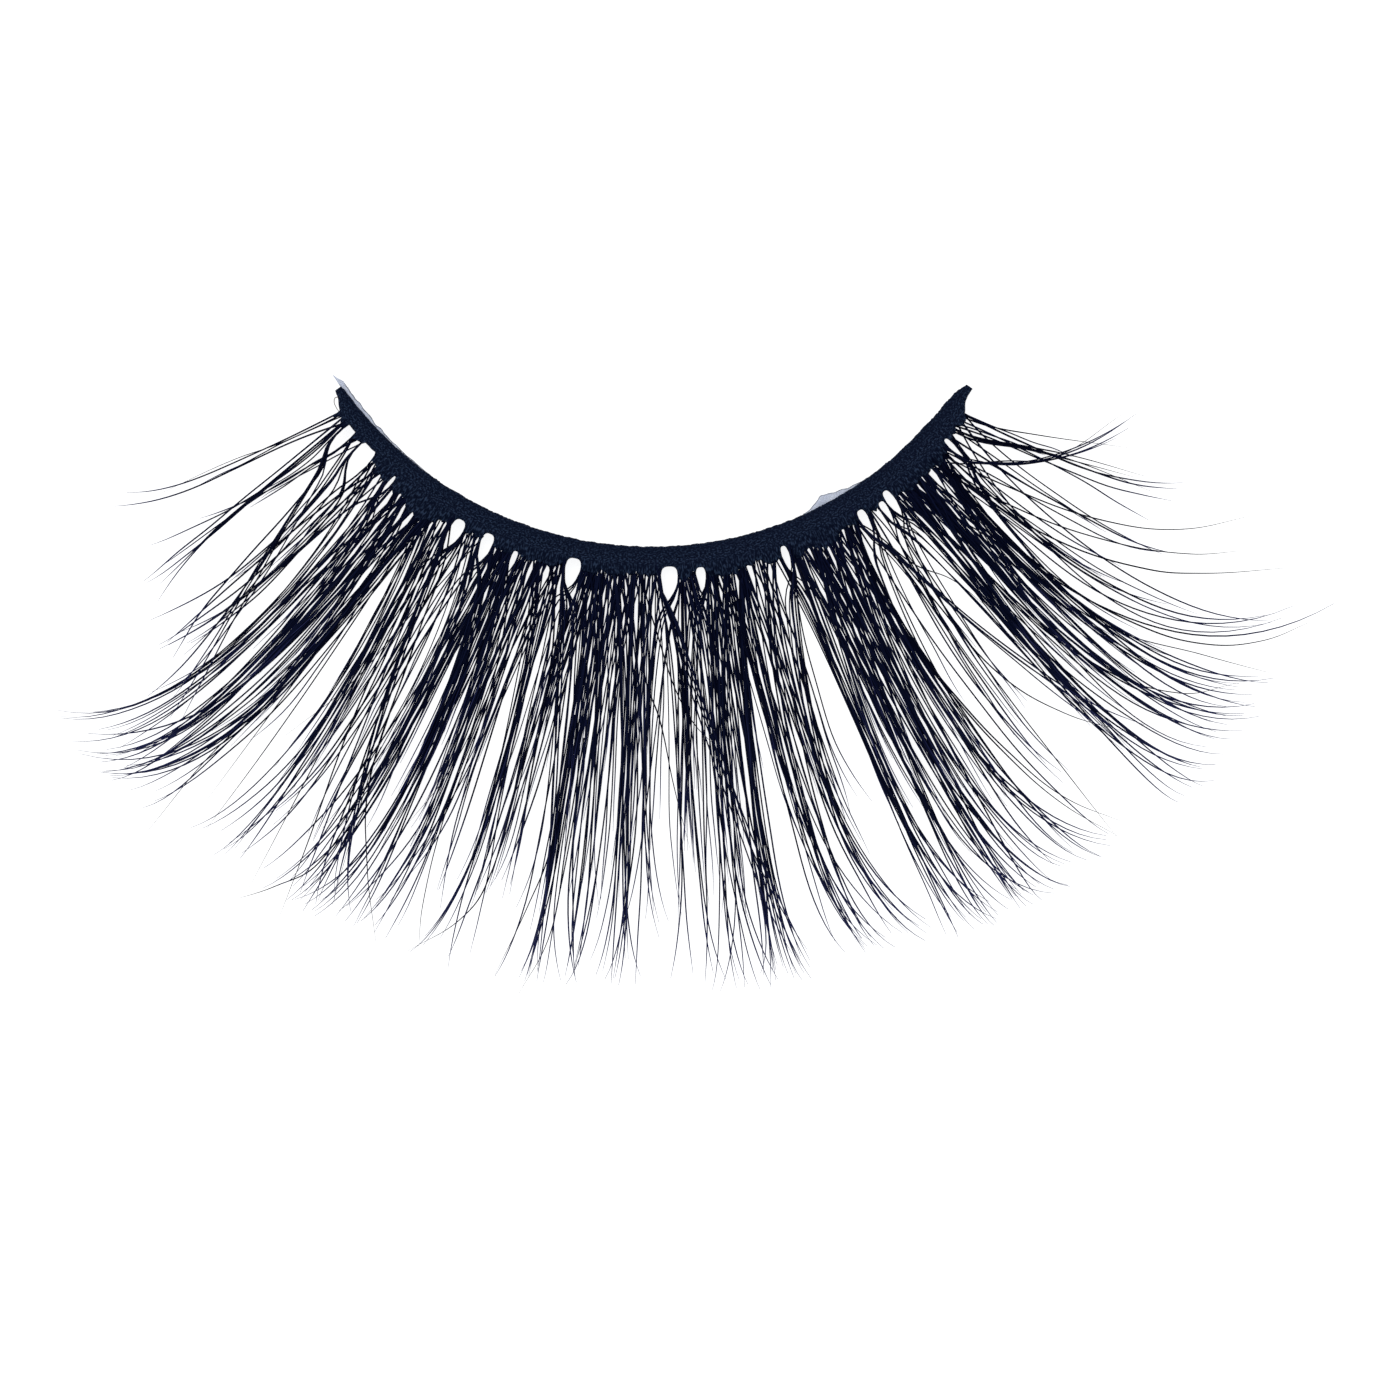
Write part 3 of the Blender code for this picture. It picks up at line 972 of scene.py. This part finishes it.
def web_ring(degrees):
    """A closed section through the root glue: out along its top, back below."""
    turn = degrees / HALF_TURN_DEGREES
    depth = max(web_depth(degrees), WEB_START + 0.1)
    top = []
    below = []
    for index in range(WEB_STEPS):
        share = index / (WEB_STEPS - 1)
        out = (WEB_START + (depth - WEB_START) * share) * MM
        radius = band_radius(0) + out
        fall = min(max((out / MM - WEB_LEVEL_TO) / WEB_FALL_OVER, 0.0), 1.0)
        fall = fall * fall * (3 - 2 * fall)
        half = WEB_EDGE_HALF * (1 - WEB_THINNING * share ** 6)
        high = BAND_HEIGHT * WEB_TOP * (1 - fall) + (ROOT_HEIGHT + half) * fall
        high += fall * uneven(degrees, 21.0 + share, 6.0, WEB_RIDGE)
        low = BAND_HEIGHT * WEB_BOTTOM * (1 - fall) + (ROOT_HEIGHT - half) * fall
        top.append(on_arc(turn, radius, high))
        below.append(on_arc(turn, radius, min(low, high - WEB_LEAST)))
    return top + list(reversed(below))


bridge(band_surface, [
    web_ring(DEPTHS[0].degrees + (DEPTHS[-1].degrees - DEPTHS[0].degrees) * index / WEB_RINGS)
    for index in range(WEB_RINGS + 1)
])
print("faces of band and root glue:", len(band_surface.faces))

# %% [markdown]
# Dried black glue on cotton is matt and grainy, with paler specks where the thread
# shows. The thread runs along the strip, and the fibres in the root glue run outwards
# from it, so the noise has to follow the arc. For that the place on the piece is turned
# into a distance along the strip and a distance out from the arc's centre.

# %% Distances along the arc and out from it
def arc_coordinates(nodes):
    """Distance along the strip and distance out from the arc's centre."""
    place = add_node(nodes, "ShaderNodeTexCoord").outputs["Object"]
    parts = add_node(nodes, "ShaderNodeSeparateXYZ", {"Vector": place})
    aside = parts.outputs["X"]
    below = add_math(nodes, "SUBTRACT", BAND_RADIUS, parts.outputs["Y"])
    along = add_math(nodes, "ARCTAN2", aside, below)
    along = add_math(nodes, "MULTIPLY", along, BAND_RADIUS)
    squares = add_math(nodes, "MULTIPLY", aside, aside)
    squares = add_math(nodes, "ADD", squares, add_math(nodes, "MULTIPLY", below, below))
    return along, add_math(nodes, "SQRT", squares)


def arc_noise(nodes, along, out, along_scale, out_scale, detail):
    """Noise that is stretched along the strip or out from it."""
    spot = add_node(nodes, "ShaderNodeCombineXYZ", {
        "X": add_math(nodes, "MULTIPLY", along, along_scale),
        "Y": add_math(nodes, "MULTIPLY", out, out_scale),
    })
    values = {"Vector": spot, "Scale": 1.0, "Detail": detail}
    return add_node(nodes, "ShaderNodeTexNoise", values).outputs["Fac"]


print("noise along and across the strip ready")

# %% [markdown]
# The root glue has its own grain. The innermost edge of the band is a little darker.

# %% Band material
COTTON_DARK = (0.0006, 0.0035, 0.0170)
COTTON_SPECK = (0.0240, 0.0420, 0.0880)
ROOTS_FROM = band_radius(0) + 0.75 * MM
ROOTS_TO = band_radius(0) + 1.00 * MM
SHADE_FROM = band_radius(0) + 0.20 * MM
SHADE_TO = band_radius(0) + 0.45 * MM

band_material, band_nodes, band_shader = principled("black_cotton", Specular_IOR_Level=0.06)
along_strip, out_strip = arc_coordinates(band_nodes)
thread_noise = arc_noise(band_nodes, along_strip, out_strip, 10000, 16000, 1)
root_noise = arc_noise(band_nodes, along_strip, out_strip, 15000, 5000, 1)
roots_here = shader_range(band_nodes, out_strip, ROOTS_FROM, ROOTS_TO)
mixed = {"Factor": roots_here, "A": thread_noise, "B": root_noise}
grain = add_node(band_nodes, "ShaderNodeMix", mixed, data_type="FLOAT").outputs[0]
specks = shader_range(band_nodes, grain, 0.48, 0.66)
inner_shade = shader_range(band_nodes, out_strip, SHADE_FROM, SHADE_TO, 0.55, 1.0)
specks = add_math(band_nodes, "MULTIPLY", specks, inner_shade)
band_tone = ramp(band_nodes, specks, COTTON_DARK, COTTON_SPECK)
put(band_nodes, band_shader.inputs["Base Color"], band_tone)
lumps = noise_on_object(band_nodes, 4200, 4)
spread_roughness(band_nodes, band_shader, lumps, 0.50, 0.80)
attach_bump(band_nodes, band_shader, grain, 0.7, 0.04 * MM)
print("material:", band_material.name)

# %% [markdown]
# Each of these surfaces becomes a piece that takes the place of solids of the frame.

# %% Make a piece from a surface
def add_piece(name, surface, material, slot, *nodes):
    """Turn a bmesh into a piece of the strip that stands for nodes of the frame."""
    bmesh.ops.recalc_face_normals(surface, faces=surface.faces)
    mesh = bpy.data.meshes.new(name)
    surface.to_mesh(mesh)
    surface.free()
    mesh.materials.append(material)
    mesh.shade_smooth()
    piece = bpy.data.objects.new(name, mesh)
    scene.collection.objects.link(piece)
    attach(piece, "root")
    if nodes:
        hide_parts(*nodes)
    return piece


band_skin = add_piece("band_skin", band_surface, band_material, "black_band", "band")
print("piece:", band_skin.name)

# %% [markdown]
# ## Clear glue
#
# Clear glue has run out under the band at two places on its inner edge and dried to a
# thin bluish film, and one drop hangs between two roots. A film is a strip with a lens
# section and a wavering free edge, so that it looks dried and not cut.

# %% Glue material
GLUE_TINT = (0.36, 0.41, 0.56)
GLUE_PALE = (0.80, 0.84, 0.92)

glue_material, glue_nodes, glue_shader = principled(
    "clear_glue", IOR=1.47, Transmission_Weight=0.75,
)
glue_cloud = noise_on_object(glue_nodes, 2600, 4)
glue_tone = ramp(glue_nodes, glue_cloud, GLUE_TINT, GLUE_PALE)
put(glue_nodes, glue_shader.inputs["Base Color"], glue_tone)
spread_roughness(glue_nodes, glue_shader, glue_cloud, 0.10, 0.40)
attach_bump(glue_nodes, glue_shader, glue_cloud, 0.5, 0.04 * MM)
print("material:", glue_material.name)

# %% Glue films and drop
Film = namedtuple("Film", "name start end widest width")
FILMS = [
    Film("glue_film_left", -1.050, -0.660, 0.08, 0.24 * MM),
    Film("glue_film_right", 0.435, 0.640, 0.30, 0.36 * MM),
]
FILM_RINGS = 120
FILM_RING_POINTS = 12
FILM_OVERLAP = 0.04 * MM
FILM_HALF = 0.08 * MM
FILM_END_WIDTH = 0.07 * MM
DROP_TURN = 0.606
DROP_RADIUS = 0.22 * MM
DROP_GAP = 0.05 * MM
DROP_BULGE = 0.18


def film_ring(film, share):
    """The film's lens section at a share of its length."""
    swell = share / film.widest if share < film.widest else (1 - share) / (1 - film.widest)
    width = FILM_END_WIDTH + (film.width - FILM_END_WIDTH) * math.sin(swell * math.pi / 2) ** 2
    turn = film.start + (film.end - film.start) * share
    width *= 1 + uneven(turn, 2.0, 45, 0.4)
    inner = read_off(BAND_STATIONS, turn)[0]
    outer = band_radius(inner) + FILM_OVERLAP
    ring = []
    for index in range(FILM_RING_POINTS):
        angle = math.tau * index / FILM_RING_POINTS
        radius = outer - width * (0.5 + math.cos(angle) / 2)
        ring.append(on_arc(turn, radius, BAND_HEIGHT / 2 + FILM_HALF * math.sin(angle)))
    return ring


for film in FILMS:
    film_surface = bmesh.new()
    bridge(film_surface, [film_ring(film, index / FILM_RINGS) for index in range(FILM_RINGS + 1)])
    add_piece(film.name + "_skin", film_surface, glue_material, "clear_glue", film.name)

drop_surface = bmesh.new()
bmesh.ops.create_uvsphere(drop_surface, u_segments=32, v_segments=20, radius=DROP_RADIUS)
drop_place = on_arc(DROP_TURN, OUTER_EDGE + DROP_GAP + DROP_RADIUS, BAND_HEIGHT / 2)
for vert in drop_surface.verts:
    bulge = 1 + DROP_BULGE * noise.noise(vert.co / DROP_RADIUS * 1.3)
    vert.co = drop_place + vert.co * bulge
add_piece("glue_drop_skin", drop_surface, glue_material, "clear_glue", "glue_drop")
print("films and drop done")

# %% [markdown]
# ## Stray fibres
#
# Some fibres leave their bundle and are easy to recognise by their own curve. They are
# given as a few places that they pass: degrees from the middle of the band, and
# millimetres out from its inner edge. A smooth curve joins the places, at the height
# that the curl gives them.

# %% Table of strays
Stray = namedtuple("Stray", "places thickness")
STRAYS = [Stray(*row) for row in (
    (((-34.7, 6), (-35.0, 12), (-36.5, 15), (-37.0, 21)), 0.075),
    (((-34.5, 4), (-34.5, 8), (-34.8, 12), (-35.0, 18)), 0.070),
    (((-33.3, 4), (-33.3, 8), (-33.5, 14), (-33.8, 19.5)), 0.070),
    (((-30.5, 3), (-29.8, 9), (-29.4, 15), (-29.0, 20.5)), 0.070),
    (((-30.0, 4), (-28.3, 12), (-27.0, 17), (-26.2, 21)), 0.075),
    (((-29.5, 1.3), (-27.8, 3), (-26.8, 6), (-25.0, 13), (-23.3, 19.5)), 0.080),
    (((-26.5, 7), (-24.5, 14), (-22.3, 17), (-19.3, 20.5)), 0.070),
    (((-25.0, 12), (-25.5, 18), (-27.5, 19.8), (-29.5, 21.2)), 0.070),
    (((-12.5, 8), (-13.0, 16.5), (-14.0, 18), (-17.3, 20.3)), 0.070),
    (((-8.0, 8), (-8.5, 14.5), (-9.5, 17), (-11.0, 20.5)), 0.070),
    (((-6.8, 9), (-7.2, 14), (-7.5, 18), (-9.2, 21.2)), 0.070),
    (((-1.5, 1.5), (-0.8, 6), (0.8, 8), (2.0, 11), (3.2, 14)), 0.075),
    (((-1.0, 2), (0.2, 3.5), (4.0, 8), (6.5, 9.5)), 0.070),
    (((29.0, 1.5), (29.0, 8), (30.0, 11), (31.3, 14), (33.0, 17), (35.6, 19.6)), 0.085),
    (((28.7, 1.5), (28.8, 8), (29.8, 11), (31.0, 14), (32.5, 17), (34.8, 20.1)), 0.085),
    (((29.5, 1.2), (31.0, 2), (33.5, 4.5), (36.0, 6), (37.3, 8)), 0.070),
    (((32.0, 3), (33.0, 6), (34.5, 11), (37.0, 14), (40.0, 16.5)), 0.075),
    (((33.6, 6), (33.8, 11), (34.3, 16), (34.6, 20)), 0.065),
    (((43.0, 3), (44.5, 9), (46.5, 13), (49.0, 16), (52.0, 18), (55.3, 19.3)), 0.080),
    (((44.5, 2), (46.7, 7), (51.0, 12), (53.5, 14), (57.8, 17.2)), 0.080),
    (((43.5, 1), (45.5, 2), (50.0, 3.6), (54.0, 5.3), (62.7, 7.1)), 0.070),
    (((51.0, 0.8), (52.3, 2), (55.0, 4), (59.5, 8)), 0.075),
    (((49.0, 0.8), (50.0, 2), (53.0, 4), (55.0, 6), (57.0, 10)), 0.090),
    (((48.8, 0.8), (50.2, 2), (53.2, 4), (55.5, 6), (58.0, 9.5)), 0.090),
    (((48.5, 0.8), (49.7, 2), (52.8, 4), (55.2, 6.3), (57.3, 9)), 0.085),
    (((-51.0, 0.7), (-51.3, 1), (-53.5, 4), (-55.0, 6), (-56.5, 10)), 0.055),
    (((-24.5, 1.2), (-26.5, 3.5), (-28.6, 6.5), (-30.2, 10), (-33.0, 14)), 0.055),
    (((-13.0, 1.2), (-15.0, 3.5), (-17.0, 7.5), (-18.6, 12), (-20.5, 15)), 0.060),
    (((-13.5, 1.2), (-15.5, 4.0), (-17.0, 8.5), (-17.7, 13), (-17.2, 18), (-16.5, 20)), 0.070),
    (((8.5, 1.3), (10.6, 4.0), (12.0, 9.0), (12.7, 14), (14.9, 19.8)), 0.070),
    (((37.0, 1.2), (39.0, 5), (41.0, 12), (45.0, 16.8), (48.5, 18.4)), 0.075),
    (((38.0, 1.2), (42.5, 6), (44.5, 12), (48.5, 16.5), (50.8, 19.6)), 0.065),
    (((43.0, 1.2), (46.0, 4.5), (50.0, 9), (54.2, 13), (57.0, 15)), 0.070),
    (((45.0, 1.2), (48.0, 4.5), (52.0, 9), (55.5, 12), (60.0, 14.6)), 0.070),
)]
print("strays:", len(STRAYS))

# %% [markdown]
# The height at a distance comes from the same curl as that of the bundles: the sum is
# made once, and read off for every place.

# %% Curves through places
def curl_table(count=400):
    """Distance out and height at even steps along a full fibre."""
    rows = [(0.0, 0.0)]
    step = HAIR_LENGTH / count
    for index in range(count):
        slope = curl_slope((index + 0.5) / count)
        rows.append((rows[-1][0] + step * math.cos(slope), rows[-1][1] + step * math.sin(slope)))
    return rows


CURL = curl_table()
STRAY_TOP = cad_box[1][2] - 0.2 * MM
STRAY_LEVELS = 5
STRAY_PITCH = 0.06 * MM
STRAY_TAPER = 0.9


def height_at(out):
    """Height of the curled fibres at a distance out from their roots."""
    return min(ROOT_HEIGHT + read_off(CURL, out)[0], STRAY_TOP)


def at_place(degrees, distance, lift=0.0):
    """A point of the strip from degrees and mm out from the band's inner edge."""
    radius = band_radius(0) + distance * MM
    height = height_at(radius - OUTER_EDGE - 0.05 * MM)
    return on_arc(degrees / HALF_TURN_DEGREES, radius, height + lift)


def draw_fibres(name, rows, material):
    """One piece of fibres, each a tapering round tube through its places."""
    curve = bpy.data.curves.new(name, "CURVE")
    curve.dimensions = "3D"
    curve.bevel_depth = 1.0
    curve.bevel_resolution = 1
    curve.resolution_u = 10
    curve.use_fill_caps = True
    for number, (places, thickness) in enumerate(rows):
        spline = curve.splines.new("BEZIER")
        spline.bezier_points.add(len(places) - 1)
        for index, (point, place) in enumerate(zip(spline.bezier_points, places)):
            share = index / (len(places) - 1)
            point.co = at_place(*place, lift=number % STRAY_LEVELS * STRAY_PITCH)
            point.handle_left_type = "AUTO"
            point.handle_right_type = "AUTO"
            point.radius = thickness / 2 * MM * (1 - STRAY_TAPER * share ** 3)
    piece = plain_piece(name, bpy.data.objects.new(name + "_curve", curve))
    piece.data.materials.clear()
    piece.data.materials.append(material)
    piece.data.shade_smooth()
    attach(piece, "root")
    return piece


strays = draw_fibres("stray_fibres", STRAYS, fibre_material)
print("faces of the strays:", len(strays.data.polygons))

# %% [markdown]
# A thin end of the band's cotton has come loose at the left end. No glue has reached it,
# so it kept its pale colour. It is a small loop beside the band.

# %% Loose end of the thread
LOOSE_END = (
    (-53.2, 0.35), (-53.9, 0.56), (-53.6, 0.71), (-52.8, 0.80), (-51.9, 0.81), (-51.0, 0.7),
)
PALE_DARK = (0.42, 0.37, 0.33)
PALE_LIGHT = (0.62, 0.58, 0.54)

thread_material, thread_nodes, thread_shader = principled("pale_cotton")
thread_cloud = noise_on_object(thread_nodes, 9000, 2)
thread_tone = ramp(thread_nodes, thread_cloud, PALE_DARK, PALE_LIGHT)
put(thread_nodes, thread_shader.inputs["Base Color"], thread_tone)
spread_roughness(thread_nodes, thread_shader, thread_cloud, 0.75, 0.95)
loose_rows = [Stray(LOOSE_END, 0.050)]
loose_end = draw_fibres("loose_thread_end", loose_rows, thread_material)
print("faces of the loose end:", len(loose_end.data.polygons))
